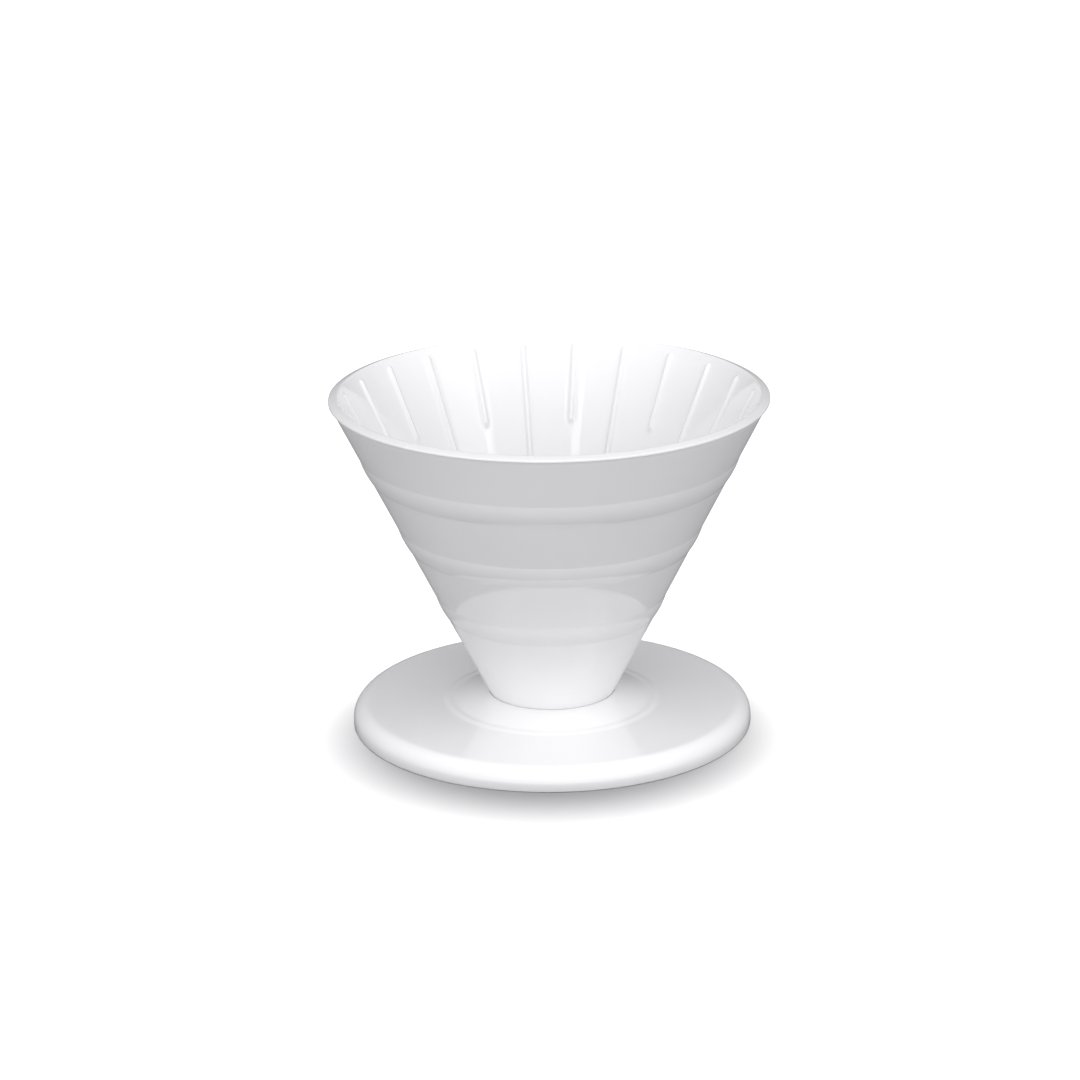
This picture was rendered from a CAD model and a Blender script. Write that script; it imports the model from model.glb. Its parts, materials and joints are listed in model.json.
"""Looks of the pour-over dripper: two gloss white mouldings and a silicone seal, on a pale studio floor.

Outlines are lists of (radius, height) in millimetres, turned about the dripper's axis.
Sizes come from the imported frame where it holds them, and otherwise from the named values below.
"""

import json
from math import atan2, ceil, cos, hypot, pi, radians, sin, tan

import bmesh
import bpy
from mathutils import Matrix, Vector


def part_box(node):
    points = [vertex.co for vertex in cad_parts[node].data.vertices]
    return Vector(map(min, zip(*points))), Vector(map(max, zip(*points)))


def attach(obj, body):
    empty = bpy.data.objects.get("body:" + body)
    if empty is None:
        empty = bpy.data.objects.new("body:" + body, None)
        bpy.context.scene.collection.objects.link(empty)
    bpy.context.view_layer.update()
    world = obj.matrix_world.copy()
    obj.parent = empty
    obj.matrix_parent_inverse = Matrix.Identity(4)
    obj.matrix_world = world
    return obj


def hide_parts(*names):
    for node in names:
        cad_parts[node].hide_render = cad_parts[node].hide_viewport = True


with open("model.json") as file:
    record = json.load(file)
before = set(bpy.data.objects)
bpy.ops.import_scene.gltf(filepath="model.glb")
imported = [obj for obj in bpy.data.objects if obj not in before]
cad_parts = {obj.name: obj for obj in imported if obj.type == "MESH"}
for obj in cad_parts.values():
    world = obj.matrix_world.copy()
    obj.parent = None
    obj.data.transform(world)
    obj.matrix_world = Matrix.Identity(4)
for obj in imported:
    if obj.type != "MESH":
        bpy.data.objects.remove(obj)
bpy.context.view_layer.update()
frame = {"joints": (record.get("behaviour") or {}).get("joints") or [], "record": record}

MM = 0.001
cone_low, cone_high = (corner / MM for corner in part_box("filter_cone"))
plate_low, plate_high = (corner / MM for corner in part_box("base_plate"))
seal_low, seal_high = (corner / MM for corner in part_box("seal_ring"))
mounts = {mount["name"]: mount for mount in frame["record"]["mounts"]}

# Cone
RIM_R = cone_high.x
RIM_Z = cone_high.z
RIM_FALL = 0.7
RIM_EDGE = RIM_Z - RIM_FALL
WALL_TOP = RIM_Z - RIM_FALL / 2
FOOT_Z = cone_low.z
HUB_Z = plate_high.z
NECK_R = 17.0
SLOPE = (RIM_R - NECK_R) / (WALL_TOP - HUB_Z)
HALF_ANGLE = atan2(SLOPE, 1)
WALL = 2.2
WALL_RUN = WALL / cos(HALF_ANGLE)
OUTLET_R = 11.5

# Lip under the rim
LIP_H = 0.6
LIP_RECESS = 0.15
LIP_RUNOUT = 1.5

# Beads round the outer wall: drops are from the wall's top, lengths run along the wall
BEADS = 3
BEAD_FIRST = 15.1
BEAD_PITCH = 19.6
BEAD_L = 6.9
BEAD_H = 0.3
BEAD_MARGIN = 0.4

# Ribs inside the cone
RIBS = 24
FIRST_LONG_RIB = 7.5
RIB_HALF = 1.15
RIB_FLAT = 0.1
RIB_H = 0.6
RIB_GAP = 1.9
SHORT_RIB = 22.6
RIB_OUTLET_GAP = 3.5
RIB_COLUMNS = 13
GAP_COLUMNS = 9

# Base plate
PLATE_R = plate_high.x
PLATE_H = 6.0
PLATE_T = 2.2
EDGE_W = 4.2
EDGE_H = 4.7
STEP_R = 29.2
STEP_W = 1.7
STEP_Z = PLATE_H + 0.3
HUB_R = 26.3
RING_R = mounts["centring_ring"]["dims"]["r_mm"]
RING_T = 2.0
RING_GAP = 0.6

# Fits
NECK_FIT = 0.08
SEAL_FIT = 0.12
FACE_FIT = 0.05
SEAT_FIT = 0.1
LUG_FIT = 0.2

# Twist lock and seal
SEAL_R = seal_high.x
SEAL_W = 1.25
SHOULDER_Z = seal_high.z + FACE_FIT
BEARING_R = SEAL_R - SEAL_W - SEAL_FIT
BORE_R = BEARING_R + NECK_FIT
POCKET_R = SEAL_R + LUG_FIT
LUGS = 3
LUG_ANGLE = 30
LUG_SLACK = 1
LUG_ROOT = 0.6
LUG_R = BEARING_R + 2.1
LUG_LOW = FOOT_Z + 0.2
LUG_TOP = LUG_LOW + 1.6
FLOOR_LOW = LUG_TOP + FACE_FIT
FLOOR_TOP = FLOOR_LOW + 2.0
TWIST = frame["joints"][0]["range_deg"][1]
FIRST_NOTCH = 90
NOTCH_R = LUG_R + LUG_FIT
GUARD_IN_R = NOTCH_R + SEAT_FIT

# Fillets of the cone
NECK_FILLET = 0.3
RUNOUT_FILLET = 1.5
SHADOW_FILLET = 0.15
LIP_FILLET = 0.12
RIM_OUT_FILLET = 0.3
RIM_IN_FILLET = 0.35
OUTLET_FILLET = 0.6

# Fillets of the base plate, and of the foot of the outlet and of the bore
SKIRT_FILLET = 0.3
STEP_FILLET = 4
HUB_FILLET = 6
SEAM_FILLET = 0.06
POCKET_FILLET = 0.1
BORE_FILLET = 0.2
GUARD_FILLET = 0.6
UNDER_FILLET = 2
RING_FILLET = 0.5
RING_FOOT_FILLET = 0.4

# Rounding of the seal
SEAL_FILLET = 0.3

# Fineness of the meshes
SHARP_ANGLE = 40
CUT = 1
EDGE_STEPS = 14
SEAL_COLUMNS = 240
FILLET_STEPS = 6
LONGEST_EDGE = 0.9
FINE_EDGE = 0.2
PLATE_COLUMNS = 480


# ---------------------------------------------------------------- outlines

def wall_r(z):
    """Radius of the plain outer wall at height z."""
    return NECK_R + SLOPE * (z - HUB_Z)


def wall_z(r):
    """Height of the plain outer wall at radius r."""
    return HUB_Z + (r - NECK_R) / SLOPE


def wall_down(z):
    """Distance down the wall from its top to height z."""
    return (WALL_TOP - z) / cos(HALF_ANGLE)


def off_wall(down, out):
    """The point this far down the outer wall from its top, and this far out from it."""
    z = WALL_TOP - down * cos(HALF_ANGLE)
    return Vector((wall_r(z) + out * cos(HALF_ANGLE), z - out * sin(HALF_ANGLE)))


def eased(share):
    """Goes smoothly from 0 to 1 as the share does."""
    share = min(max(share, 0), 1)
    return share * share * (3 - 2 * share)


def bead_starts():
    """Where the beads start, down the wall."""
    return [(BEAD_FIRST + BEAD_PITCH * bead) / cos(HALF_ANGLE) for bead in range(BEADS)]


def bead_swell(down):
    """How far the beads lift the outer wall, this far down it: each is a shallow arc with crisp edges."""
    shares = [2 * (down - start) / BEAD_L - 1 for start in bead_starts()]
    return BEAD_H * sum(max(1 - share * share, 0) for share in shares)


def stations(start, stop, fine_spans):
    """Distances from start to stop, close together within the fine spans and further apart between them."""
    cuts = sorted({start, stop, *(edge for span in fine_spans for edge in span)})
    marks = []
    for low, high in zip(cuts, cuts[1:]):
        fine = any(first <= (low + high) / 2 <= last for first, last in fine_spans)
        parts = ceil((high - low) / (FINE_EDGE if fine else LONGEST_EDGE))
        marks += [low + (high - low) * k / parts for k in range(parts)]
    return marks + [stop]


def rounded(corners):
    """Points of an outline whose corners are (radius, height, fillet)."""
    points = []
    for i, (r, z, fillet) in enumerate(corners):
        here = Vector((r, z))
        if not fillet:
            points.append(here)
            continue
        back = (Vector(corners[i - 1][:2]) - here).normalized()
        ahead = (Vector(corners[(i + 1) % len(corners)][:2]) - here).normalized()
        half = back.angle(ahead) / 2
        reach = fillet / tan(half)
        centre = here + (back + ahead).normalized() * fillet / sin(half)
        first = here + back * reach - centre
        last = here + ahead * reach - centre
        points += [centre + first.slerp(last, k / FILLET_STEPS) * fillet for k in range(FILLET_STEPS + 1)]
    return points


def divided(points, closed=True):
    """The same outline, with no stretch longer than LONGEST_EDGE."""
    result = []
    count = len(points) if closed else len(points) - 1
    for i in range(count):
        here, there = points[i], points[(i + 1) % len(points)]
        parts = max(1, ceil((there - here).length / LONGEST_EDGE))
        result += [here.lerp(there, k / parts) for k in range(parts)]
    if not closed:
        result.append(points[-1])
    return result


def quarter(r, z, w, h):
    """A quarter ellipse from its side at (r + w, z) to its top at (r, z + h), as sharp corners."""
    turns = [pi / 2 * k / EDGE_STEPS for k in range(EDGE_STEPS + 1)]
    return [(r + w * cos(t), z + h * sin(t), 0) for t in turns]


# ---------------------------------------------------------------- meshes

def mesh_piece(name, vertices, faces):
    """A smooth-shaded object from points in millimetres, with edges past SHARP_ANGLE kept crisp."""
    mesh = bpy.data.meshes.new(name)
    mesh.from_pydata([Vector(v) * MM for v in vertices], [], faces)
    work = bmesh.new()
    work.from_mesh(mesh)
    bmesh.ops.recalc_face_normals(work, faces=work.faces)
    work.to_mesh(mesh)
    work.free()
    mesh.shade_smooth()
    mesh.set_sharp_from_angle(angle=radians(SHARP_ANGLE))
    piece = bpy.data.objects.new(name, mesh)
    bpy.context.scene.collection.objects.link(piece)
    return piece


def grid_faces(rows, columns):
    """Quads of a grid that is closed both ways."""
    return [
        (
            i * columns + j,
            i * columns + (j + 1) % columns,
            (i + 1) % rows * columns + (j + 1) % columns,
            (i + 1) % rows * columns + j,
        )
        for i in range(rows)
        for j in range(columns)
    ]


def turned(name, outline, columns=PLATE_COLUMNS):
    """A closed outline turned about the axis."""
    turns = [2 * pi * j / columns for j in range(columns)]
    vertices = [(r * cos(t), r * sin(t), z) for r, z in outline for t in turns]
    return mesh_piece(name, vertices, grid_faces(len(outline), columns))


def sector_block(name, middle, half, in_r, out_r, z_low, z_high):
    """A closed sector of a ring, angles in degrees."""
    steps = ceil(half)
    turns = [radians(middle - half + 2 * half * k / steps) for k in range(steps + 1)]
    section = [(in_r, z_low), (out_r, z_low), (out_r, z_high), (in_r, z_high)]
    vertices = [(r * cos(t), r * sin(t), z) for t in turns for r, z in section]
    faces = [
        (4 * k + a, 4 * k + (a + 1) % 4, 4 * k + 4 + (a + 1) % 4, 4 * k + 4 + a)
        for k in range(steps)
        for a in range(4)
    ]
    faces += [(3, 2, 1, 0), tuple(4 * steps + a for a in range(4))]
    return mesh_piece(name, vertices, faces)


def carve(piece, cutter, operation):
    """Applies an exact boolean to the piece and removes the cutter."""
    modifier = piece.modifiers.new("carve", "BOOLEAN")
    modifier.operation = operation
    modifier.solver = "EXACT"
    modifier.object = cutter
    bpy.context.view_layer.update()
    depsgraph = bpy.context.evaluated_depsgraph_get()
    carved = bpy.data.meshes.new_from_object(piece.evaluated_get(depsgraph))
    piece.modifiers.clear()
    piece.data = carved
    carved.shade_smooth()
    carved.set_sharp_from_angle(angle=radians(SHARP_ANGLE))
    bpy.data.objects.remove(cutter)


# ---------------------------------------------------------------- filter cone

def outer_wall():
    """The cone's outside, from the outlet's lower edge up to the outer edge of the rim."""
    lip_low = RIM_EDGE - LIP_H
    runout_z = lip_low - LIP_RUNOUT
    foot = rounded([
        (OUTLET_R, FOOT_Z, 0),
        (BEARING_R, FOOT_Z, NECK_FILLET),
        (BEARING_R, SHOULDER_Z, 0),
    ])[1:]
    spans = [(start - BEAD_MARGIN, start + BEAD_L + BEAD_MARGIN) for start in bead_starts()]
    downs = stations(wall_down(runout_z), wall_down(SHOULDER_Z), spans)
    wall = [off_wall(down, bead_swell(down)) for down in downs[:0:-1]]
    lip = rounded([
        (wall_r(runout_z - CUT), runout_z - CUT, 0),
        (wall_r(runout_z), runout_z, RUNOUT_FILLET),
        (wall_r(lip_low) - LIP_RECESS, lip_low, SHADOW_FILLET),
        (RIM_R, lip_low, LIP_FILLET),
        (RIM_R, RIM_EDGE, RIM_OUT_FILLET),
        (wall_r(RIM_Z) - WALL_RUN, RIM_Z, 0),
    ])[1:-1]
    return divided(foot + wall + lip, closed=False)


def long_rib_end():
    """Where the long ribs end, down the inner wall from the rim."""
    return (RIM_Z - wall_z(OUTLET_R + WALL_RUN)) / cos(HALF_ANGLE) - RIB_OUTLET_GAP


def inner_wall():
    """The cone's inside, from the inner edge of the rim down to the outlet's lower edge."""
    outlet_z = wall_z(OUTLET_R + WALL_RUN)
    top = rounded([
        (RIM_R, RIM_EDGE, 0),
        (wall_r(RIM_Z) - WALL_RUN, RIM_Z, RIM_IN_FILLET),
        (OUTLET_R, outlet_z, 0),
    ])[1:-1]
    ends = [(RIB_GAP, RIB_GAP + 2 * RIB_HALF)]
    ends += [(end - 2 * RIB_HALF, end) for end in (RIB_GAP + SHORT_RIB, long_rib_end())]
    marks = stations(0, (RIM_Z - outlet_z) / cos(HALF_ANGLE), ends)
    wall = [off_wall(down - RIM_FALL / 2 / cos(HALF_ANGLE), -WALL) for down in marks]
    bottom = rounded([
        (wall_r(RIM_Z) - WALL_RUN, RIM_Z, 0),
        (OUTLET_R, outlet_z, OUTLET_FILLET),
        (OUTLET_R, FOOT_Z, BORE_FILLET),
        (BEARING_R, FOOT_Z, 0),
    ])[1:-1]
    kept = [point for point in wall if bottom[0].y < point.y < top[-1].y]
    return top + kept + divided(bottom, closed=False)


def rib_height(rib, aside, along):
    """Height of a rib at this distance aside of its middle line and along the wall from the rim."""
    start = RIB_GAP + RIB_HALF
    stop = long_rib_end() if rib % 2 == 0 else RIB_GAP + SHORT_RIB
    beyond = max(start - along, along - stop + RIB_HALF, 0)
    return RIB_H * eased((RIB_HALF - hypot(aside, beyond)) / (RIB_HALF - RIB_FLAT))


def filter_cone():
    """One closed skin: even columns outside, and inside columns that follow the ribs."""
    outside, inside = outer_wall(), inner_wall()
    per_rib = RIB_COLUMNS + GAP_COLUMNS
    columns = RIBS * per_rib
    pitch = 2 * pi / RIBS
    vertices = []
    for r, z in outside:
        for j in range(columns):
            t = radians(FIRST_LONG_RIB) + pitch * (j - (RIB_COLUMNS - 1) / 2) / per_rib
            vertices.append((r * cos(t), r * sin(t), z))
    for r, z in inside:
        along = (RIM_Z - z) / cos(HALF_ANGLE)
        half = RIB_HALF / r
        for rib in range(RIBS):
            middle = radians(FIRST_LONG_RIB) + pitch * rib
            for j in range(per_rib):
                if j < RIB_COLUMNS:
                    aside = half * (2 * j / (RIB_COLUMNS - 1) - 1)
                else:
                    share = (j - RIB_COLUMNS + 1) / (GAP_COLUMNS + 1)
                    aside = half + (pitch - 2 * half) * share
                height = rib_height(rib, aside * r, along) if j < RIB_COLUMNS else 0
                rib_r = r - height * cos(HALF_ANGLE)
                rib_z = z + height * sin(HALF_ANGLE)
                t = middle + aside
                vertices.append((rib_r * cos(t), rib_r * sin(t), rib_z))
    piece = mesh_piece("cone_moulding", vertices, grid_faces(len(outside) + len(inside), columns))
    for lug in range(LUGS):
        middle = FIRST_NOTCH - TWIST + 360 / LUGS * lug
        block = sector_block("lug", middle, LUG_ANGLE / 2, BEARING_R - LUG_ROOT, LUG_R, LUG_LOW, LUG_TOP)
        carve(piece, block, "UNION")
    return piece


# ---------------------------------------------------------------- base plate and seal

def base_plate():
    """The turned plate with its hub and centring ring, cut by the notches and tracks of the lock."""
    under_z = PLATE_H - PLATE_T
    rise = (HUB_Z - STEP_Z) / (HUB_R - NECK_R)
    seat_z = wall_z(POCKET_R - SEAT_FIT)
    guard_r = GUARD_IN_R + PLATE_T
    inner_edge = quarter(PLATE_R - EDGE_W, PLATE_H - EDGE_H, EDGE_W - PLATE_T, EDGE_H - PLATE_T)
    piece = turned("plate_moulding", divided(rounded(
        [(PLATE_R, 0, SKIRT_FILLET)]
        + quarter(PLATE_R - EDGE_W, PLATE_H - EDGE_H, EDGE_W, EDGE_H)
        + [
            (STEP_R, PLATE_H, STEP_FILLET),
            (STEP_R - STEP_W, STEP_Z, STEP_FILLET),
            (HUB_R, STEP_Z, HUB_FILLET),
            (NECK_R + SEAT_FIT, HUB_Z, SEAM_FILLET),
            (POCKET_R, seat_z, 0),
            (POCKET_R, FLOOR_TOP, POCKET_FILLET),
            (BORE_R, FLOOR_TOP, POCKET_FILLET),
            (BORE_R, FOOT_Z, BORE_FILLET),
            (guard_r, FOOT_Z, SKIRT_FILLET),
            (guard_r, under_z + rise * (HUB_R - guard_r), GUARD_FILLET),
            (HUB_R, under_z, UNDER_FILLET),
            (RING_R - RING_T, under_z, RING_FILLET),
            (RING_R - RING_T, RING_GAP, RING_FOOT_FILLET),
            (RING_R, RING_GAP, RING_FOOT_FILLET),
            (RING_R, under_z, RING_FILLET),
        ]
        + inner_edge[::-1]
        + [(PLATE_R - PLATE_T, 0, SKIRT_FILLET)]
    )))
    in_r, low = BORE_R - CUT, FOOT_Z - CUT
    notch_half = LUG_ANGLE / 2 + LUG_SLACK
    track_half = TWIST / 2 + LUG_ANGLE / 2 + 2 * LUG_SLACK
    for lug in range(LUGS):
        middle = FIRST_NOTCH + 360 / LUGS * lug
        notch = sector_block("notch", middle, notch_half, in_r, NOTCH_R, low, HUB_Z + CUT)
        carve(piece, notch, "DIFFERENCE")
        track = sector_block("track", middle - TWIST / 2, track_half, in_r, GUARD_IN_R, low, FLOOR_LOW)
        carve(piece, track, "DIFFERENCE")
    return piece


def seal_ring():
    """A flat ring with rounded edges."""
    outline = rounded([
        (SEAL_R - SEAL_W, seal_low.z, SEAL_FILLET),
        (SEAL_R, seal_low.z, SEAL_FILLET),
        (SEAL_R, seal_high.z, SEAL_FILLET),
        (SEAL_R - SEAL_W, seal_high.z, SEAL_FILLET),
    ])
    return turned("silicone_seal", outline, SEAL_COLUMNS)


# ---------------------------------------------------------------- materials

def new_material(name):
    """A material with its nodes, links and shader."""
    material = bpy.data.materials.new(name)
    material.use_nodes = True
    tree = material.node_tree
    return material, tree.nodes, tree.links, tree.nodes["Principled BSDF"]


def noise(nodes, links, scale, detail):
    """Noise in the object's own coordinates, scale per metre."""
    place = nodes.new("ShaderNodeTexCoord")
    texture = nodes.new("ShaderNodeTexNoise")
    texture.inputs["Scale"].default_value = scale
    texture.inputs["Detail"].default_value = detail
    links.new(place.outputs["Object"], texture.inputs["Vector"])
    return texture.outputs["Fac"]


def spread(nodes, links, source, low, high):
    """Maps 0.3 to 0.7 of the source onto low to high."""
    ranger = nodes.new("ShaderNodeMapRange")
    ranger.inputs["From Min"].default_value = 0.3
    ranger.inputs["From Max"].default_value = 0.7
    ranger.inputs["To Min"].default_value = low
    ranger.inputs["To Max"].default_value = high
    links.new(source, ranger.inputs["Value"])
    return ranger.outputs["Result"]


def tint(nodes, links, source, dark, light):
    """Mixes two colours by the source."""
    mix = nodes.new("ShaderNodeMix")
    mix.data_type = "RGBA"
    mix.inputs["A"].default_value = (*dark, 1)
    mix.inputs["B"].default_value = (*light, 1)
    links.new(source, mix.inputs["Factor"])
    return mix.outputs["Result"]


def bump(nodes, links, shader, source, distance):
    """Raises the surface by up to distance metres."""
    node = nodes.new("ShaderNodeBump")
    node.inputs["Strength"].default_value = 1
    node.inputs["Distance"].default_value = distance
    links.new(source, node.inputs["Height"])
    links.new(node.outputs["Normal"], shader.inputs["Normal"])


def gloss_plastic():
    """Polished white plastic: faint cloudiness, a slightly uneven gloss and a trace of mould ripple."""
    material, nodes, links, shader = new_material("gloss_white_plastic")
    cloud = noise(nodes, links, 25, 3)
    haze = noise(nodes, links, 140, 4)
    ripple = noise(nodes, links, 220, 2)
    links.new(
        tint(nodes, links, spread(nodes, links, cloud, 0, 1), (0.775, 0.775, 0.783), (0.805, 0.805, 0.81)),
        shader.inputs["Base Color"],
    )
    links.new(spread(nodes, links, haze, 0.03, 0.06), shader.inputs["Roughness"])
    bump(nodes, links, shader, ripple, 0.000004)
    shader.inputs["IOR"].default_value = 1.65
    shader.inputs["Subsurface Weight"].default_value = 0.12
    shader.inputs["Subsurface Radius"].default_value = (0.003, 0.003, 0.0032)
    shader.inputs["Subsurface Scale"].default_value = 1
    return material


def milky_silicone():
    """Translucent food-grade silicone with a satin skin."""
    material, nodes, links, shader = new_material("milky_silicone")
    cloud = noise(nodes, links, 300, 3)
    links.new(
        tint(nodes, links, spread(nodes, links, cloud, 0, 1), (0.6, 0.62, 0.62), (0.68, 0.7, 0.7)),
        shader.inputs["Base Color"],
    )
    links.new(spread(nodes, links, cloud, 0.4, 0.55), shader.inputs["Roughness"])
    bump(nodes, links, shader, cloud, 0.00002)
    shader.inputs["Subsurface Weight"].default_value = 0.4
    shader.inputs["Subsurface Radius"].default_value = (0.002, 0.002, 0.002)
    shader.inputs["Subsurface Scale"].default_value = 1
    return material


def pale_floor():
    """Matte pale sweep. The camera sees it overlit, and the dripper's gloss mirrors it darker."""
    material, nodes, links, shader = new_material("pale_floor")
    cloud = noise(nodes, links, 3, 2)
    seen = nodes.new("ShaderNodeLightPath")
    lit = tint(nodes, links, spread(nodes, links, cloud, 0, 1), (0.37, 0.37, 0.372), (0.38, 0.38, 0.382))
    dull = nodes.new("ShaderNodeMix")
    dull.data_type = "RGBA"
    dull.inputs["A"].default_value = (0.08, 0.08, 0.083, 1)
    links.new(seen.outputs["Is Camera Ray"], dull.inputs["Factor"])
    links.new(lit, dull.inputs["B"])
    links.new(dull.outputs["Result"], shader.inputs["Base Color"])
    shader.inputs["Roughness"].default_value = 0.9
    shader.inputs["Specular IOR Level"].default_value = 0.1
    return material


# ---------------------------------------------------------------- stage, light and camera

# Metres and watts. Azimuth 0 is the front and 90 the right; elevation is above the horizon.
TARGET = Vector((0, 0, 0.0464))
FLOOR_HALF = 6
LAMP_DISTANCE = 2.0
SQUARE = (0.8, 0.8)
WIDE = (1.2, 0.8)
STRIP = (0.2, 0.6)


def floor():
    """A wide square floor under the dripper."""
    mesh = bpy.data.meshes.new("floor")
    signs = [(-1, -1), (1, -1), (1, 1), (-1, 1)]
    corners = [(x * FLOOR_HALF, y * FLOOR_HALF, 0) for x, y in signs]
    mesh.from_pydata(corners, [], [(0, 1, 2, 3)])
    mesh.materials.append(pale_floor())
    piece = bpy.data.objects.new("floor", mesh)
    bpy.context.scene.collection.objects.link(piece)
    return piece


def direction(azimuth, elevation):
    """Unit vector from the dripper, at these angles in degrees."""
    a, e = radians(azimuth), radians(elevation)
    return Vector((sin(a) * cos(e), -cos(a) * cos(e), sin(e)))


def hang(name, light, azimuth, elevation, lit):
    """Hangs a light that faces the dripper and lights only the pieces of one collection."""
    away = direction(azimuth, elevation)
    lamp = bpy.data.objects.new(name, light)
    lamp.location = TARGET + away * LAMP_DISTANCE
    lamp.rotation_euler = away.to_track_quat("Z", "Y").to_euler()
    lamp.light_linking.receiver_collection = lit
    bpy.context.scene.collection.objects.link(lamp)


def softbox(name, azimuth, elevation, size, power, lit):
    """A rectangular area light."""
    light = bpy.data.lights.new(name, "AREA")
    light.shape = "RECTANGLE"
    light.size, light.size_y = size
    light.energy = power
    hang(name, light, azimuth, elevation, lit)


def overhead(name, azimuth, elevation, width, strength, lit):
    """A distant light this many degrees wide."""
    light = bpy.data.lights.new(name, "SUN")
    light.angle = radians(width)
    light.energy = strength
    hang(name, light, azimuth, elevation, lit)


def sky(front, back):
    """A smooth studio sky, brighter in front of the dripper than behind it."""
    world = bpy.data.worlds.new("studio")
    bpy.context.scene.world = world
    world.use_nodes = True
    nodes, links = world.node_tree.nodes, world.node_tree.links
    place = nodes.new("ShaderNodeTexCoord")
    axes = nodes.new("ShaderNodeSeparateXYZ")
    fade = nodes.new("ShaderNodeMapRange")
    fade.inputs["From Min"].default_value = -1
    fade.inputs["From Max"].default_value = 1
    fade.inputs["To Min"].default_value = front
    fade.inputs["To Max"].default_value = back
    links.new(place.outputs["Generated"], axes.inputs["Vector"])
    links.new(axes.outputs["Y"], fade.inputs["Value"])
    links.new(fade.outputs["Result"], nodes["Background"].inputs["Strength"])
    nodes["Background"].inputs["Color"].default_value = (0.985, 0.98, 1, 1)


def linked(name, pieces):
    """A collection of pieces for a light to fall on."""
    group = bpy.data.collections.new(name)
    for piece in pieces:
        group.objects.link(piece)
    return group


def studio(cone, plate, seal, ground):
    """The sky and lamps. The cone, the plate and the floor also have lamps of their own."""
    dripper = linked("dripper_only", [cone, plate, seal])
    upper = linked("cone_only", [cone, seal])
    lower = linked("plate_only", [plate])
    sweep = linked("floor_only", [ground])
    sky(1.8, 0.12)
    softbox("key", 0, 60, SQUARE, 2.8, upper)
    softbox("fill", -8, 0, WIDE, 6.0, upper)
    softbox("side", 60, 30, SQUARE, 1.4, upper)
    softbox("plate_left", -60, 55, SQUARE, 5.5, lower)
    softbox("plate_right", 65, 55, SQUARE, 7.0, lower)
    softbox("window_left", -21, 34, STRIP, 0.6, dripper)
    softbox("window_right", 47, 30, STRIP, 0.5, dripper)
    overhead("overhead", 178, 80.6, 25, 9.5, sweep)


def camera():
    """The camera fitted to the outlines of the rim and the plate."""
    elevation = 18.81
    distance = 0.986
    roll_angle = -0.56
    data = bpy.data.cameras.new("camera")
    data.sensor_width = 36
    data.lens = 123.46
    data.shift_x = -0.00987
    data.shift_y = 0.01327
    away = direction(0, elevation)
    view = bpy.data.objects.new("camera", data)
    view.location = TARGET + away * distance
    roll = Matrix.Rotation(radians(roll_angle), 4, "Z")
    view.rotation_euler = (away.to_track_quat("Z", "Y").to_matrix().to_4x4() @ roll).to_euler()
    bpy.context.scene.collection.objects.link(view)
    bpy.context.scene.camera = view
    bpy.context.scene.view_settings.view_transform = "Standard"


# ---------------------------------------------------------------- assembly

def finish_piece(piece, node, body, material):
    """Gives a piece its material and body, and lets it stand for its CAD node."""
    piece.data.materials.clear()
    piece.data.materials.append(material)
    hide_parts(node)
    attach(piece, body)
    return piece


plastic = gloss_plastic()
dripper_pieces = [
    finish_piece(filter_cone(), "filter_cone", "cone", plastic),
    finish_piece(base_plate(), "base_plate", "base", plastic),
    finish_piece(seal_ring(), "seal_ring", "cone", milky_silicone()),
]
studio(*dripper_pieces, floor())
camera()
